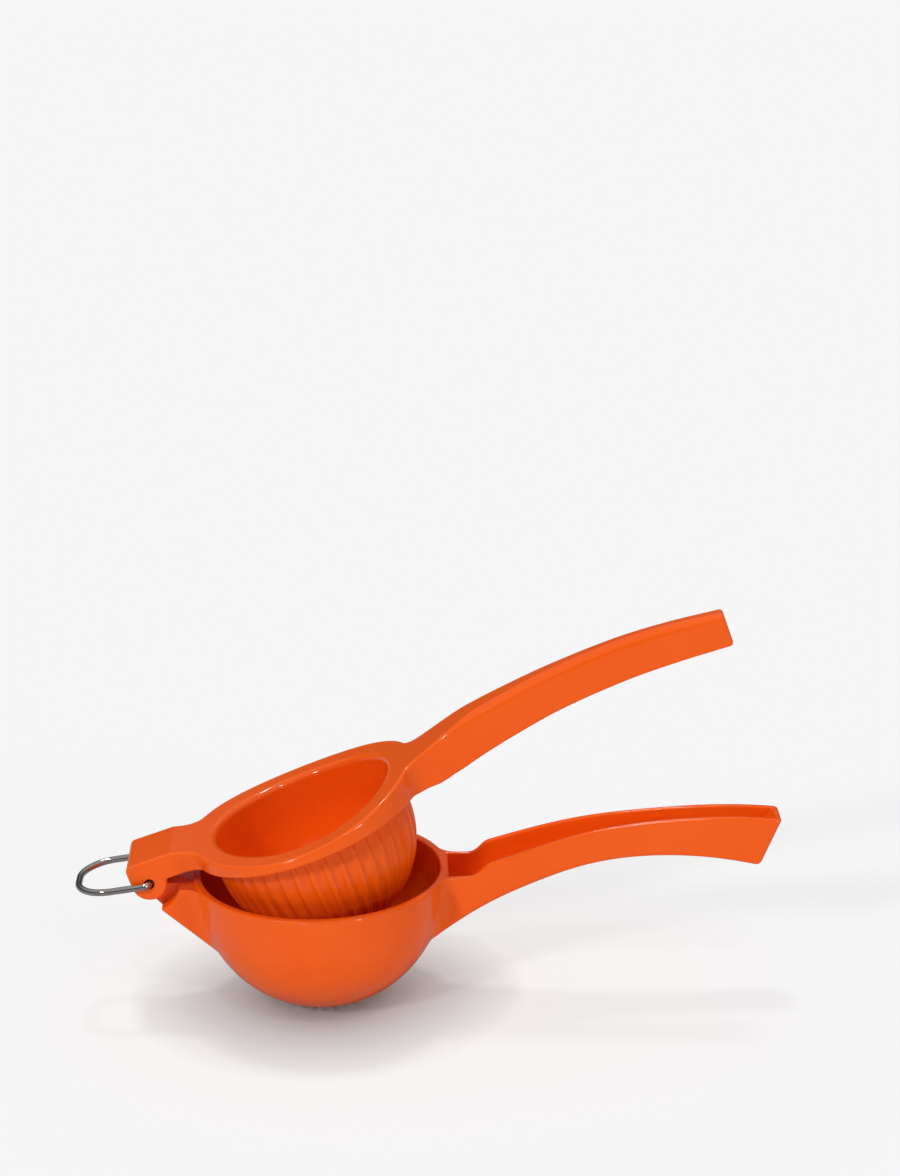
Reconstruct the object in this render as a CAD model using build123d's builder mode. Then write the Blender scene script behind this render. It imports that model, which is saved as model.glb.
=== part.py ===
"""Hand-held citrus press: two cast levers on one hinge pin, with a wire hanging loop.

Millimetres, +Z up. The origin is the centre of the cup's flat base, the cup's rim is level,
and both handles point along +X. The upper lever is drawn level, with its flange parallel to
the rim, then swung open about the hinge to the angle it is stored at. The press shuts to
0.7 degrees above level, where the upper handle's end meets the end of the channel in the
lower one. Heights in side views are measured from the rim.
"""
import os
from math import acos, asin, atan2, cos, degrees, hypot, radians, sin, sqrt

from build123d import *

os.makedirs("parts", exist_ok=True)

# ---------------------------------------------------------------- driving dimensions
OPEN_ANGLE = 18.3          # stored opening of the upper lever, degrees from level
FULL_ANGLE = 110.0         # opening at which the neck's web meets the end of its slot

CUP_RADIUS = 44.0          # inside the cup at its rim
RIM_WIDTH = 3.0
SHELL_RADIUS = 45.3        # outer sphere of the cup
SPHERE_DROP = 6.0          # centre of the cup's spheres below the rim
CUP_WALL = 2.7
BASE_RADIUS = 12.0         # flat that the cup stands on
DRAIN_RADIUS = 2.2
DRAIN_RINGS = ((6, 7.0), (12, 14.6))      # holes in each ring, and its radius
DRAIN_DEPTH = 15.0         # each hole is cut from the base's level up to here
RIM_FILLET = 0.8

HINGE_X = -62.0            # hinge axis, parallel to Y
HINGE_RISE = 1.5
HINGE_HALF = 13.0          # half the width over both ears
EAR_RADIUS = 6.5
KNUCKLE_RADIUS = 5.0
KNUCKLE_HALF = 6.2
HINGE_GAP = 0.35           # play between knuckle and ears
BLOCK_X = -51.0            # the hinge block's level top ends here
BLOCK_FILLET = 2.5
EAR_RELIEF = 11.0          # radius of the hollow in the neck that the ears turn in
RELIEF_FILLET = 0.8
NECK_HALF = 12.8
NECK_TOP = -1.3
NECK_CORNER = (-57.8, -10.0)
NECK_BLEND = 6.0
WEB_ROOT = (-48.0, -14.0)  # where the knuckle's web ends inside the neck
SLOT_DEPTH = 10.0          # the slot's floor below the hinge axis
SLOT_REACH = 9.0
SLOT_EXTRA = 3.0           # the slot's end runs this far past the web's corner

PIN_RADIUS = 2.0
PIN_WALL = 0.65
PIN_SLIT = 0.7
PIN_LENGTH = 19.0          # sunk in the ears
RUNNING_PLAY = 0.05        # radial play of the pin in the knuckle

FLANGE_RADIUS = 43.6
FLANGE_X = -0.8            # centre of the flange's outline
FLANGE_RISE = 1.1          # underside of the level flange
ROOT_RISE = 0.4            # underside of the level handle where it crosses the cup's rim
SADDLE_RADIUS = 175.0      # the upper lever's top dips in a long arc
SADDLE_X = -8.0            # lowest point of the dip
SADDLE_RISE = 4.9
PLUNGER_X = -1.1           # centre of the plunger and of its hollow
PLUNGER_RADIUS = 37.2
PLUNGER_DROP = 7.2         # centre of the plunger's sphere below the rim
PLUNGER_WALL = 3.3
FLUTES = 42
FLUTE_TOOL = 2.6           # radius of the round tool that makes a flute
FLUTE_DEPTH = 0.9
FLUTE_SWEEP = 64.0         # how far each flute runs down round the sphere, degrees
LIP_FILLET = 2.2
TOP_FILLET = 1.0
LOW_FILLET = 0.9
ARM_FILLET = 9.0           # in plan, where the arms meet the round flange

HOLLOW_WALL = 2.2          # side walls of the upper handle, which is hollowed from below
HOLLOW_ROOF = 3.6
HOLLOW_ENDS = (64.0, 157.0)

CHANNEL_WALL = 2.2
CHANNEL_FLOOR = 3.0
HANDLE_BLEND = 8.0
BAR_FILLET = 2.0
TIP_FILLET = 2.4
SHOULDER_X = 54.0          # the lower handle's walls step up from the rim's level here
JOIN_X = 54.0              # the upper handle's bar starts here
ROOT_PLAN = ((20.0, 13.6), (JOIN_X, 8.7))       # x and half width of the upper handle's root
END_X = 172.0              # past the ends of both handles

WIRE_RADIUS = 1.25
LOOP_REACH = 26.8          # hinge axis to the wire's centre line at the loop's end
LOOP_SIDE_GAP = 0.5        # between an ear's face and the wire's leg
LOOP_SAG = 7.0             # the stored loop points this far below level, degrees
LOOP_BENDS = (2.4, 12.5, 12.5, 2.4)
WIRE_TAIL = 7.0            # each wire end stops this far from the middle of the pin

ENVELOPE = 50.0            # half size of the blocks that outlines are cut from

# Side views, as (x, height above the rim), and half widths, as (x, half width).
LOWER_UNDER = ((34, -29.5), (47.5, -19.7), (60.4, -11.9), (76.7, -4.8), (95, 0.8), (115.6, 3.3),
               (140, 2.2), (161.2, -1.9))
LOWER_OVER = ((169.3, 16.3), (145, 18.0), (121, 17.1), (99.3, 14.6), (75.7, 8.9), (62.4, 5.0))
LOWER_SIDE = ((34, 12.8), (62, 11.6), (84, 10.1), (104, 8.2), (124, 7.2))
NECK_SIDE = ((-30, NECK_TOP), (-60, NECK_TOP), (-60, -7.7), NECK_CORNER, (-32, -32.9), (-30, -32))
CHANNEL_END = ((160.2, 1.6), (167.6, 18.0), (167.6, 25.0), (40, 25.0), (40, -16.0))
ROOT_SIDE = ((38.6, FLANGE_RISE), (42.4, ROOT_RISE), (50, ROOT_RISE), (JOIN_X, 1.1))

# Cross-sections of the upper handle: x, underside, top, half width, crown radius.
UPPER_TABLE = ((JOIN_X, 1.1, 16.2, 8.7, 1.0), (62, 3.1, 19.1, 7.9, 1.8), (68, 4.7, 21.0, 7.4, 3.0),
               (80, 7.4, 23.3, 6.7, 3.4), (100, 10.9, 26.1, 5.5, 3.4), (126, 13.0, 27.8, 4.6, 3.2),
               (146, 13.1, 27.2, 4.3, 3.0), (166.5, 12.4, 25.1, 4.3, 2.8))
UPPER_STEPS = 24
UPPER_TIP_FILLET = 1.3

# ---------------------------------------------------------------- derived dimensions
SPHERE_Z = sqrt(SHELL_RADIUS**2 - BASE_RADIUS**2)
RIM_Z = SPHERE_Z + SPHERE_DROP
INNER_RADIUS = SHELL_RADIUS - CUP_WALL
FLOOR_Z = SPHERE_Z - sqrt(INNER_RADIUS**2 - BASE_RADIUS**2)
CHANNEL_START = CUP_RADIUS + RIM_WIDTH
CHANNEL_START_HALF = NECK_HALF - CHANNEL_WALL
PLUNGER_Z = RIM_Z - PLUNGER_DROP
HINGE = Vector(HINGE_X, RIM_Z + HINGE_RISE)
HINGE_AXIS = Axis((HINGE_X, 0, RIM_Z + HINGE_RISE), (0, -1, 0))
LEG_Y = HINGE_HALF + LOOP_SIDE_GAP + WIRE_RADIUS


def over_rim(points):
    """Points of a side view, moved from rim height to the part's own height."""
    return [(x, RIM_Z + rise) for x, rise in points]


def turned(point, angle):
    """A side-view point turned about the hinge, in the sense that opens the upper lever."""
    arm = point - HINGE
    c, s = cos(radians(angle)), sin(radians(angle))
    return HINGE + Vector(arm.X * c - arm.Y * s, arm.X * s + arm.Y * c)


def saddle_z(x):
    """Height of the upper lever's dipped top."""
    return RIM_Z + SADDLE_RISE + SADDLE_RADIUS - sqrt(SADDLE_RADIUS**2 - (x - SADDLE_X)**2)


def smooth_row(table, x):
    """Row of a table at any x, on smooth curves through its rows; the first column is x."""
    def slope(i):
        low, high = table[max(i - 1, 0)], table[min(i + 1, len(table) - 1)]
        return [(b - a) / (high[0] - low[0]) for a, b in zip(low, high)]
    i = max(k for k, row in enumerate(table[:-1]) if row[0] <= x)
    span = table[i + 1][0] - table[i][0]
    t = (x - table[i][0]) / span
    row = []
    for a, b, c, d in zip(table[i], table[i + 1], slope(i), slope(i + 1)):
        square = 3 * (b - a) - span * (2 * c + d)
        cube = 2 * (a - b) + span * (c + d)
        row.append(a + t * span * c + t**2 * square + t**3 * cube)
    return row


def bowl_half(rim_radius, sphere_radius, floor_z):
    """Half section of a bowl: a straight flare at the rim, tangent to a sphere, flat floor."""
    reach = hypot(rim_radius, SPHERE_DROP)
    top = atan2(SPHERE_DROP, rim_radius) - acos(sphere_radius / reach)
    bottom = asin((floor_z - SPHERE_Z) / sphere_radius)
    with BuildSketch() as half:
        with BuildLine():
            wall = CenterArc((0, SPHERE_Z), sphere_radius, degrees(bottom), degrees(top - bottom))
            Polyline(wall @ 1, (rim_radius, RIM_Z), (0, RIM_Z), (0, floor_z), wall @ 0)
        make_face()
    return half.sketch


def plan_shape(side_points, end_x):
    """Plan outline of a bar: one side through the points, its mirror image, and square ends."""
    with BuildSketch() as plan:
        with BuildLine():
            side = Spline(*side_points, (end_x, side_points[-1][1]))
            mirror(side, about=Plane.XZ)
            Line(side @ 0, ((side @ 0).X, -(side @ 0).Y))
            Line(side @ 1, ((side @ 1).X, -(side @ 1).Y))
        make_face()
    return plan.sketch


def web_underside():
    """The web's lower face in a side view: tangent point on the knuckle, and the neck's corner."""
    corner = Vector(*over_rim([NECK_CORNER])[0])
    arm = corner - HINGE
    tangent = atan2(arm.Y, arm.X) - acos(KNUCKLE_RADIUS / arm.length)
    return HINGE + Vector(cos(tangent), sin(tangent)) * KNUCKLE_RADIUS, corner


# ---------------------------------------------------------------- lower lever
with BuildPart() as lower_bar:
    with BuildSketch(Plane.XZ.offset(-ENVELOPE)) as lower_side_view:
        with BuildLine():
            under = Spline(*over_rim(LOWER_UNDER))
            over = Spline(*over_rim(LOWER_OVER))
            shoulder = Spline(over @ 1, (SHOULDER_X, RIM_Z), tangents=(over % 1, (-1, 0)))
            Polyline(shoulder @ 1, ((under @ 0).X, RIM_Z), under @ 0)
            Line(under @ 1, over @ 0)
        make_face()
        fillet(lower_side_view.vertices().sort_by(Axis.X)[-2:].sort_by(Axis.Y)[:1], TIP_FILLET)
    extrude(amount=2 * ENVELOPE)
    with BuildSketch(Plane.XY.offset(RIM_Z - ENVELOPE)):
        add(plan_shape(LOWER_SIDE, END_X))
    extrude(amount=2 * ENVELOPE, mode=Mode.INTERSECT)
    fillet(lower_bar.edges().sort_by(SortBy.LENGTH)[-4:].sort_by(Axis.Z)[:2], BAR_FILLET)

with BuildPart() as channel:
    with BuildSketch(Plane.XZ.offset(-ENVELOPE)):
        with BuildLine():
            inner_floor = [(x, rise + CHANNEL_FLOOR) for x, rise in LOWER_UNDER[1:-1]]
            end = over_rim(CHANNEL_END)
            floor = Spline(*over_rim(inner_floor), end[0])
            Polyline(floor @ 1, *end[1:], floor @ 0)
        make_face()
    extrude(amount=2 * ENVELOPE)
    with BuildSketch(Plane.XY.offset(RIM_Z - ENVELOPE)):
        inner_side = [(x, half - CHANNEL_WALL) for x, half in LOWER_SIDE[1:]]
        add(plan_shape([(CHANNEL_START, CHANNEL_START_HALF)] + inner_side, END_X))
    extrude(amount=2 * ENVELOPE, mode=Mode.INTERSECT)

with BuildPart() as neck:
    with BuildSketch(Plane.XZ.offset(-NECK_HALF)):
        Polygon(*over_rim(NECK_SIDE), align=None)
    extrude(amount=2 * NECK_HALF)
    fillet(neck.edges().filter_by(Plane.XZ).sort_by(SortBy.LENGTH)[-4:].sort_by(Axis.Z)[:2], BAR_FILLET)
    with BuildSketch(Plane.XZ.offset(-NECK_HALF)):
        with Locations(HINGE):
            Circle(EAR_RELIEF)
    extrude(amount=2 * NECK_HALF, mode=Mode.SUBTRACT)
    relief_arcs = neck.edges().filter_by(GeomType.CIRCLE).filter_by(lambda edge: edge.length > 5)
    fillet(relief_arcs, RELIEF_FILLET)


def blend_edges(lever, side):
    """Edges where a bar meets the cup's outside, on the +X side (1) or the -X side (-1)."""
    def at_shell(edge):
        spot = edge.center()
        depth = (spot - Vector(0, 0, SPHERE_Z)).length - SHELL_RADIUS
        across = edge.bounding_box().size.Y < 2 * NECK_HALF
        below = spot.Z < RIM_Z - 0.3
        return abs(depth) < 2.5 and abs(spot.Y) < 14 and spot.X * side > 30 and across and below
    return lever.edges().filter_by(at_shell).filter_by(lambda edge: edge.length > 0.5)


with BuildPart() as cup_lever:
    with BuildSketch(Plane.XZ):
        add(bowl_half(CUP_RADIUS + RIM_WIDTH, SHELL_RADIUS, 0))
    revolve(axis=Axis.Z)
    add(lower_bar.part)
    add(neck.part)
    fillet(blend_edges(cup_lever, 1), HANDLE_BLEND)
    fillet(blend_edges(cup_lever, -1), NECK_BLEND)
    with BuildSketch(Plane.XZ):
        add(bowl_half(CUP_RADIUS, INNER_RADIUS, FLOOR_Z))
    revolve(axis=Axis.Z, mode=Mode.SUBTRACT)
    add(channel.part, mode=Mode.SUBTRACT)
    fillet(cup_lever.edges().filter_by(lambda edge: edge.bounding_box().min.Z > RIM_Z - 0.05), RIM_FILLET)
    with BuildSketch(Plane.XZ.offset(-KNUCKLE_HALF)):
        with Locations(HINGE):
            Circle(KNUCKLE_RADIUS)
        tangent, corner = web_underside()
        web = over_rim([(HINGE_X, NECK_TOP), (WEB_ROOT[0], NECK_TOP), WEB_ROOT])
        Polygon(*web, tuple(corner), tuple(tangent), align=None)
    extrude(amount=2 * KNUCKLE_HALF)
    with BuildSketch(Plane.XZ.offset(-KNUCKLE_HALF)):
        with Locations(HINGE):
            Circle(PIN_RADIUS + RUNNING_PLAY)
    extrude(amount=2 * KNUCKLE_HALF, mode=Mode.SUBTRACT)
    for count, ring in DRAIN_RINGS:
        with BuildSketch(Plane.XY):
            with PolarLocations(ring, count):
                Circle(DRAIN_RADIUS)
        extrude(amount=DRAIN_DEPTH, mode=Mode.SUBTRACT)
cup_lever.part.label = "cup_lever"
export_step(cup_lever.part, "parts/cup_lever.step")


# ---------------------------------------------------------------- upper lever, drawn level
with BuildPart() as upper_bar:
    run = UPPER_TABLE[-1][0] - JOIN_X
    for step in range(UPPER_STEPS + 1):
        x, low, high, half, crown = smooth_row(UPPER_TABLE, JOIN_X + run * step / UPPER_STEPS)
        with BuildSketch(Plane.YZ.offset(x)) as section:
            with Locations((0, RIM_Z + low)):
                Rectangle(2 * half, high - low, align=(Align.CENTER, Align.MIN))
            fillet(section.vertices().sort_by(Axis.Y)[2:], crown)
            fillet(section.vertices().sort_by(Axis.Y)[:2], LOW_FILLET)
    loft()
    fillet(upper_bar.faces().sort_by(Axis.X)[-1].edges(), UPPER_TIP_FILLET)

with BuildPart() as handle_hollow:
    hollowed = UPPER_TABLE[2:-1]
    start_x, end_x = HOLLOW_ENDS
    with BuildSketch(Plane.XZ.offset(-ENVELOPE)):
        with BuildLine():
            ceiling = Spline(*over_rim((x, high - HOLLOW_ROOF) for x, low, high, half, crown in hollowed))
            Polyline(ceiling @ 1, (end_x, (ceiling @ 1).Y), (end_x, RIM_Z), (start_x, RIM_Z), ceiling @ 0)
        make_face()
    extrude(amount=2 * ENVELOPE)
    with BuildSketch(Plane.XY.offset(RIM_Z - ENVELOPE)):
        add(plan_shape([(x, half - HOLLOW_WALL) for x, low, high, half, crown in hollowed], end_x))
    extrude(amount=2 * ENVELOPE, mode=Mode.INTERSECT)

with BuildPart() as flute:
    tool_radius = PLUNGER_RADIUS + FLUTE_TOOL - FLUTE_DEPTH
    flute_top = RIM_Z + FLANGE_RISE - 0.02
    with BuildLine(Plane.XZ) as flute_run:
        Line((tool_radius, flute_top), (tool_radius, PLUNGER_Z))
        CenterArc((0, PLUNGER_Z), tool_radius, 0, -FLUTE_SWEEP)
    with BuildSketch(Plane.XY.offset(flute_top)):
        with Locations((tool_radius, 0)):
            Circle(FLUTE_TOOL)
    sweep(path=flute_run.wire())


def on_top_outline(edge):
    """Edges round the upper lever's top outline, and down the ends of the hinge block."""
    spot, box = edge.center(), edge.bounding_box().size
    curved = edge.geom_type != GeomType.LINE and spot.Z > RIM_Z + 4.5
    block_top = edge.geom_type == GeomType.LINE and spot.Z > RIM_Z + 9 and box.X > 3
    return abs(spot.Y) > 3 and spot.X < JOIN_X - 1 and (curved or block_top)


def on_low_outline(edge):
    """Edges round the underside of the flange, arms and handle root."""
    spot, box = edge.center(), edge.bounding_box().size
    return abs(spot.Y) > 3 and spot.X < JOIN_X - 1 and box.Z < 0.8 and spot.Z < RIM_Z + 3 and box.Y < 60


def on_lip(edge):
    """The edge where the plunger's hollow meets the dipped top."""
    box = edge.bounding_box()
    return min(box.size.X, box.size.Y) > 60 and box.min.Z > RIM_Z + 4


def slot_below():
    """Outline of the slot under the knuckle: it ends where the web's face stops, fully open."""
    near, far = (turned(point, -FULL_ANGLE) for point in web_underside())
    along = (far - near).normalized()
    gap = Vector(along.Y, -along.X) * HINGE_GAP
    end = far + along * SLOT_EXTRA
    low = HINGE.Y - SLOT_DEPTH
    inner_x = HINGE_X + SLOT_REACH
    floor = [(end.X, low), (inner_x, low)]
    return [tuple(near + gap), tuple(end + gap), *floor, (inner_x, HINGE.Y), (HINGE.X, HINGE.Y)]


with BuildPart() as press_level:
    with BuildSketch(Plane.XZ.offset(-ENVELOPE)) as upper_side_view:
        with BuildLine():
            back_x = HINGE_X - EAR_RADIUS
            ear_x = HINGE_X + sqrt(EAR_RADIUS**2 - (HINGE_RISE - FLANGE_RISE)**2)
            dip = RadiusArc((JOIN_X, saddle_z(JOIN_X)), (BLOCK_X, saddle_z(BLOCK_X)), SADDLE_RADIUS)
            Polyline(dip @ 1, (back_x, saddle_z(BLOCK_X)), (back_x, HINGE.Y))
            ear_end = (ear_x, RIM_Z + FLANGE_RISE)
            ear = ThreePointArc((back_x, HINGE.Y), (HINGE_X, HINGE.Y - EAR_RADIUS), ear_end)
            Polyline(ear @ 1, *over_rim(ROOT_SIDE), dip @ 0)
        make_face()
        fillet(upper_side_view.vertices().sort_by(Axis.X)[:2].sort_by(Axis.Y)[-1:], BLOCK_FILLET)
    extrude(amount=2 * ENVELOPE)
    with BuildSketch(Plane.XY.offset(RIM_Z - ENVELOPE)) as outline:
        with Locations((FLANGE_X, 0)):
            Circle(FLANGE_RADIUS)
        Polygon((back_x, -HINGE_HALF), (0, -HINGE_HALF), (0, HINGE_HALF), (back_x, HINGE_HALF), align=None)
        Polygon(*ROOT_PLAN, *((x, -half) for x, half in reversed(ROOT_PLAN)), align=None)
        inner_corners = outline.vertices().filter_by_position(Axis.X, BLOCK_X, JOIN_X - 1)
        fillet(inner_corners, ARM_FILLET)
    extrude(amount=2 * ENVELOPE, mode=Mode.INTERSECT)
    fillet(press_level.edges().filter_by(on_top_outline), TOP_FILLET)
    fillet(press_level.edges().filter_by(on_low_outline), LOW_FILLET)

    # plunger: a short cylinder under the flange, then a half sphere, with round-cut flutes
    plunger_axis = Axis((PLUNGER_X, 0, 0), (0, 0, 1))
    with BuildSketch(Plane.XZ):
        with BuildLine():
            wall = CenterArc((PLUNGER_X, PLUNGER_Z), PLUNGER_RADIUS, -90, 90)
            top_z = RIM_Z + FLANGE_RISE + 1.5
            Polyline(wall @ 1, ((wall @ 1).X, top_z), (PLUNGER_X, top_z), wall @ 0)
        make_face()
    revolve(axis=plunger_axis)
    with Locations((PLUNGER_X, 0)):
        with PolarLocations(0, FLUTES):
            add(flute.part, mode=Mode.SUBTRACT)

    # hollow of the plunger, open through the flange
    with BuildSketch(Plane.XZ):
        with BuildLine():
            hollow = CenterArc((PLUNGER_X, PLUNGER_Z), PLUNGER_RADIUS - PLUNGER_WALL, -90, 90)
            above = RIM_Z + ENVELOPE
            Polyline(hollow @ 1, ((hollow @ 1).X, above), (PLUNGER_X, above), hollow @ 0)
        make_face()
    revolve(axis=plunger_axis, mode=Mode.SUBTRACT)
    fillet(press_level.edges().filter_by(on_lip), LIP_FILLET)

    # handle bar, hollowed from below
    add(upper_bar.part)
    add(handle_hollow.part, mode=Mode.SUBTRACT)

    # slot between the ears for the knuckle and its web, and the pin's holes
    with BuildSketch(Plane.XZ.offset(-KNUCKLE_HALF - HINGE_GAP)):
        with Locations(HINGE):
            Circle(KNUCKLE_RADIUS + HINGE_GAP)
        Polygon(*slot_below(), align=None)
    extrude(amount=2 * (KNUCKLE_HALF + HINGE_GAP), mode=Mode.SUBTRACT)
    with BuildSketch(Plane.XZ.offset(-HINGE_HALF)):
        with Locations(HINGE):
            Circle(PIN_RADIUS)
    extrude(amount=2 * HINGE_HALF, mode=Mode.SUBTRACT)

with BuildPart() as press_lever:
    add(press_level.part.rotate(HINGE_AXIS, OPEN_ANGLE))
press_lever.part.label = "press_lever"
export_step(press_lever.part, "parts/press_lever.step")


# ---------------------------------------------------------------- hinge pin
with BuildPart() as hinge_pin:
    with BuildSketch(Plane.XZ.offset(-PIN_LENGTH / 2)):
        with Locations(HINGE):
            Circle(PIN_RADIUS)
            Circle(PIN_RADIUS - PIN_WALL, mode=Mode.SUBTRACT)
        with Locations(HINGE + Vector(0, -PIN_RADIUS)):
            Rectangle(PIN_SLIT, 2 * PIN_RADIUS, mode=Mode.SUBTRACT)
    extrude(amount=PIN_LENGTH)
hinge_pin.part.label = "hinge_pin"
export_step(hinge_pin.part, "parts/hinge_pin.step")


# ---------------------------------------------------------------- hanging loop
loop_plane = Plane(origin=(HINGE.X, 0, HINGE.Y), x_dir=(-cos(radians(LOOP_SAG)), 0, -sin(radians(LOOP_SAG))),
                   z_dir=(sin(radians(LOOP_SAG)), 0, -cos(radians(LOOP_SAG))))
with BuildPart() as hanging_loop:
    with BuildLine(loop_plane) as wire:
        FilletPolyline((0, -WIRE_TAIL), (0, -LEG_Y), (LOOP_REACH, -LEG_Y), (LOOP_REACH, LEG_Y), (0, LEG_Y),
                       (0, WIRE_TAIL), radius=LOOP_BENDS)
    with BuildSketch(Plane.XZ.offset(WIRE_TAIL)):
        with Locations(HINGE):
            Circle(WIRE_RADIUS)
    sweep(path=wire.wire())
hanging_loop.part.label = "hanging_loop"
export_step(hanging_loop.part, "parts/hanging_loop.step")
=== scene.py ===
import math

import bpy
from mathutils import Matrix, Vector

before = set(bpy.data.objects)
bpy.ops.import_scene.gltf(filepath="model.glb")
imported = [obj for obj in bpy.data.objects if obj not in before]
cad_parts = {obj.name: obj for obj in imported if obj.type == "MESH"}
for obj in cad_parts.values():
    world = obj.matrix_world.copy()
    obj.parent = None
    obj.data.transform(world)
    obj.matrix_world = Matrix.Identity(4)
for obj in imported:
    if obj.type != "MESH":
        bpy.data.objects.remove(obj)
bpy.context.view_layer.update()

# Camera: place in metres, angles in degrees (azimuth 0 is the front), lens and sensor in mm.
CAMERA_PLACE = (0.032657, -1.046795, 0.510107)
CAMERA_AZIMUTH = -0.955
CAMERA_ELEVATION = 18.644
CAMERA_ROLL = -1.414
CAMERA_LENS = 94.79
CAMERA_SENSOR = 36           # along the image's long side
CAMERA_CLIP = (0.05, 100)

# Materials: lengths in metres, colours linear.
NOISE_SPAN = (0.3, 0.7)      # nearly all values of a noise texture lie in this range
ORANGE = ((0.90, 0.104, 0.0035), (0.92, 0.116, 0.0055))
WIRE_CHROME = (0.52, 0.51, 0.50, 1)
PIN_STEEL = (0.42, 0.42, 0.43, 1)
FLOOR_GREY = (0.30, 0.30, 0.30, 1)
WHITE = (1, 1, 1, 1)

# Floor and light. A softbox has a name, azimuth, elevation, strength and width in degrees.
FLOOR_HALF = 30
FLOOR_GLOW = 0.64
MIRRORED_GLOW = 0.05
# reach of the painted contact shadow that darkens the floor's glow near the object
PAINTED_SHADOW_REACH = 0.04
BACKDROP = (0.913, 0.913, 0.913, 1)
SOFTBOXES = (("key", -40, 32, 1.2, 8), ("fill", 45, 14, 0.5, 9), ("front", 6, 56, 0.3, 5),
             ("top", 188, 72, 0.8, 8))
ROOM = ((0, 0.02), (0.3, 0.06), (0.55, 0.4), (1, 0.5))      # sine of the elevation, brightness there


def direction(azimuth, elevation):
    """Unit vector from the object towards a place at this azimuth and elevation."""
    a, e = math.radians(azimuth), math.radians(elevation)
    return Vector((math.sin(a) * math.cos(e), -math.cos(a) * math.cos(e), math.sin(e)))


def linked(name, data):
    made = bpy.data.objects.new(name, data)
    bpy.context.scene.collection.objects.link(made)
    return made


def make_camera():
    data = bpy.data.cameras.new("camera")
    data.lens = CAMERA_LENS
    data.sensor_width = CAMERA_SENSOR
    data.clip_start, data.clip_end = CAMERA_CLIP
    camera = linked("camera", data)
    back = direction(CAMERA_AZIMUTH, CAMERA_ELEVATION)
    level = direction(CAMERA_AZIMUTH + 90, 0)
    above = back.cross(level)
    roll = math.radians(CAMERA_ROLL)
    right = math.cos(roll) * level + math.sin(roll) * above
    up = -math.sin(roll) * level + math.cos(roll) * above
    turn = Matrix((right, up, back)).transposed()
    camera.matrix_world = Matrix.Translation(CAMERA_PLACE) @ turn.to_4x4()
    bpy.context.scene.camera = camera


class Shading:
    """A material's node tree, with short ways to add noise, colours and bumps."""

    def __init__(self, name):
        self.material = bpy.data.materials.new(name)
        self.material.use_nodes = True
        self.nodes = self.material.node_tree.nodes
        self.links = self.material.node_tree.links
        self.shader = self.nodes["Principled BSDF"]
        self.place = self.nodes.new("ShaderNodeTexCoord").outputs["Object"]

    def set(self, **values):
        for name, value in values.items():
            self.shader.inputs[name.replace("_", " ")].default_value = value

    def feed(self, name, source):
        self.links.new(source, self.shader.inputs[name])

    def stretched(self, scale):
        mapping = self.nodes.new("ShaderNodeMapping")
        mapping.inputs["Scale"].default_value = scale
        self.links.new(self.place, mapping.inputs["Vector"])
        return mapping.outputs["Vector"]

    def noise(self, size, detail=2, place=None):
        """Noise whose features are about this many metres across."""
        node = self.nodes.new("ShaderNodeTexNoise")
        node.inputs["Scale"].default_value = 1 / size
        node.inputs["Detail"].default_value = detail
        self.links.new(place or self.place, node.inputs["Vector"])
        return node.outputs["Fac"]

    def spread(self, source, low, high):
        """A noise value drawn out to run from low to high."""
        node = self.nodes.new("ShaderNodeMapRange")
        for name, value in zip(("From Min", "From Max", "To Min", "To Max"), (*NOISE_SPAN, low, high)):
            node.inputs[name].default_value = value
        self.links.new(source, node.inputs["Value"])
        return node.outputs["Result"]

    def colors(self, source, low, high):
        """A noise value turned into a colour between low and high."""
        ramp = self.nodes.new("ShaderNodeValToRGB")
        for element, position, color in zip(ramp.color_ramp.elements, NOISE_SPAN, (low, high)):
            element.position = position
            element.color = (*color, 1)
        self.links.new(source, ramp.inputs["Fac"])
        return ramp.outputs["Color"]

    def bump(self, source, depth, under=None):
        """Relief of this depth; under is a bump that it lies on."""
        node = self.nodes.new("ShaderNodeBump")
        node.inputs["Strength"].default_value = 1
        node.inputs["Distance"].default_value = depth
        self.links.new(source, node.inputs["Height"])
        if under:
            self.links.new(under, node.inputs["Normal"])
        return node.outputs["Normal"]


def orange_enamel():
    """Glossy enamel over cast aluminium: a faint orange peel on slightly wavy metal, clear gloss on top."""
    s = Shading("orange_enamel")
    s.set(Specular_IOR_Level=0.05, Coat_Weight=0.7, Coat_Roughness=0.03)
    s.feed("Base Color", s.colors(s.noise(size=0.03), *ORANGE))
    s.feed("Roughness", s.spread(s.noise(size=0.012, detail=3), low=0.2, high=0.32))
    wavy = s.bump(s.noise(size=0.014, detail=1), depth=0.00006)
    peel = s.bump(s.noise(size=0.0018), depth=0.00001, under=wavy)
    s.feed("Normal", peel)
    s.feed("Coat Normal", peel)
    return s.material


def chrome_wire():
    """Bright plated wire with fine draw marks along it."""
    s = Shading("chrome_wire")
    s.set(Base_Color=WIRE_CHROME, Metallic=1)
    s.feed("Roughness", s.spread(s.noise(size=0.004, detail=3), low=0.03, high=0.12))
    marks = s.noise(size=0.0012, detail=3, place=s.stretched((0.2, 1, 1)))
    s.feed("Normal", s.bump(marks, depth=0.000008))
    return s.material


def pin_steel():
    """Dull rolled steel with marks along the pin."""
    s = Shading("pin_steel")
    s.set(Base_Color=PIN_STEEL, Metallic=1)
    s.feed("Roughness", s.spread(s.noise(size=0.002, detail=4), low=0.3, high=0.5))
    marks = s.noise(size=0.0006, detail=3, place=s.stretched((1, 0.1, 1)))
    s.feed("Normal", s.bump(marks, depth=0.00001))
    return s.material


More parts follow.
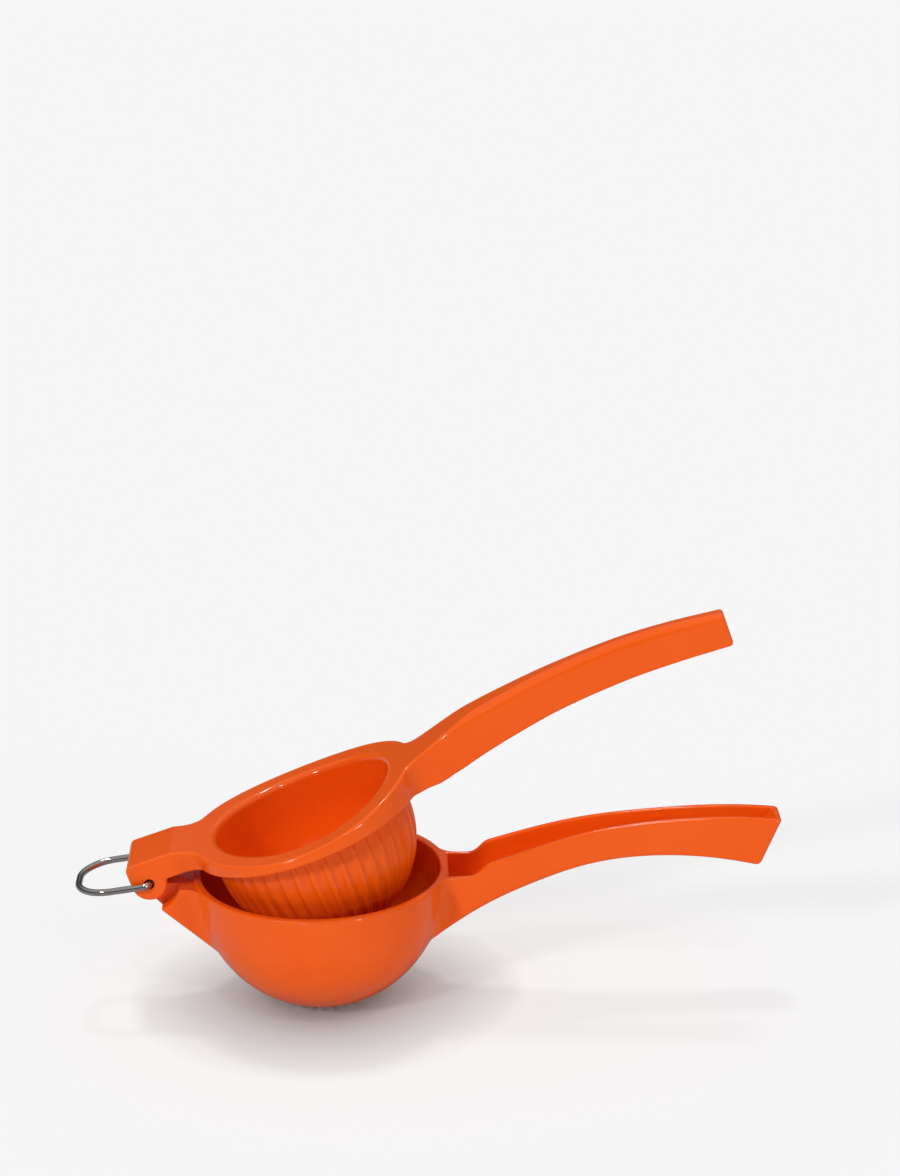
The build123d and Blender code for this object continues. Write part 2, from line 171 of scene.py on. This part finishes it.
def pale_floor():
    """It glows, so cast shadows and the enamel's colour stay faint on it; near and under the object its
    glow is darkened by ambient occlusion, a painted contact shadow.

    In reflections it glows less.
    """
    s = Shading("pale_floor")
    s.set(Base_Color=FLOOR_GREY, Specular_IOR_Level=0, Emission_Color=WHITE)
    # painted contact shadow: ambient occlusion darkens the floor's glow near and under the object
    painted_contact_shadow = s.nodes.new("ShaderNodeAmbientOcclusion")
    painted_contact_shadow.inputs["Distance"].default_value = PAINTED_SHADOW_REACH
    glow = s.nodes.new("ShaderNodeMapRange")
    glow.inputs["To Min"].default_value = FLOOR_GLOW
    glow.inputs["To Max"].default_value = MIRRORED_GLOW
    s.links.new(s.nodes.new("ShaderNodeLightPath").outputs["Is Glossy Ray"], glow.inputs["Value"])
    shaded = s.nodes.new("ShaderNodeMath")
    shaded.operation = "MULTIPLY"
    s.links.new(painted_contact_shadow.outputs["AO"], shaded.inputs[0])
    s.links.new(glow.outputs["Result"], shaded.inputs[1])
    s.feed("Emission Strength", shaded.outputs["Value"])
    s.feed("Roughness", s.spread(s.noise(size=0.05), low=0.85, high=0.95))
    return s.material


def put_on(piece, material):
    piece.data.materials.clear()
    piece.data.materials.append(material)


def make_floor():
    mesh = bpy.data.meshes.new("floor")
    h = FLOOR_HALF
    mesh.from_pydata([(-h, -h, 0), (h, -h, 0), (h, h, 0), (-h, h, 0)], [], [(0, 1, 2, 3)])
    floor = linked("floor", mesh)
    put_on(floor, pale_floor())


def softbox(name, azimuth, elevation, strength, width):
    """A far softbox, which lights the floor evenly."""
    data = bpy.data.lights.new(name, "SUN")
    data.energy = strength
    data.angle = math.radians(width)
    light = linked(name, data)
    light.rotation_euler = direction(azimuth, elevation).to_track_quat("Z", "Y").to_euler()


def make_world():
    """A pale backdrop, in a room that is darker near the horizon so that metal has something to mirror."""
    world = bpy.data.worlds.new("studio")
    bpy.context.scene.world = world
    world.use_nodes = True
    nodes, links = world.node_tree.nodes, world.node_tree.links
    place = nodes.new("ShaderNodeTexCoord")
    split = nodes.new("ShaderNodeSeparateXYZ")
    ramp = nodes.new("ShaderNodeValToRGB")
    seen = nodes.new("ShaderNodeLightPath")
    mix = nodes.new("ShaderNodeMix")
    mix.data_type = "RGBA"
    elements = ramp.color_ramp.elements
    for position, _ in ROOM[1:-1]:
        elements.new(position)
    for element, (position, value) in zip(elements, ROOM):
        element.position = position
        element.color = (value, value, value, 1)
    links.new(place.outputs["Generated"], split.inputs["Vector"])
    links.new(split.outputs["Z"], ramp.inputs["Fac"])
    links.new(seen.outputs["Is Camera Ray"], mix.inputs["Factor"])
    links.new(ramp.outputs["Color"], mix.inputs["A"])
    mix.inputs["B"].default_value = BACKDROP
    background = nodes["Background"]
    links.new(mix.outputs["Result"], background.inputs["Color"])
    background.inputs["Strength"].default_value = 1


make_camera()
enamel = orange_enamel()
for name, material in (("cup_lever", enamel), ("press_lever", enamel), ("hinge_pin", pin_steel()),
                       ("hanging_loop", chrome_wire())):
    put_on(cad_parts[name], material)
make_floor()
make_world()
for box in SOFTBOXES:
    softbox(*box)
bpy.context.scene.view_settings.view_transform = "Standard"
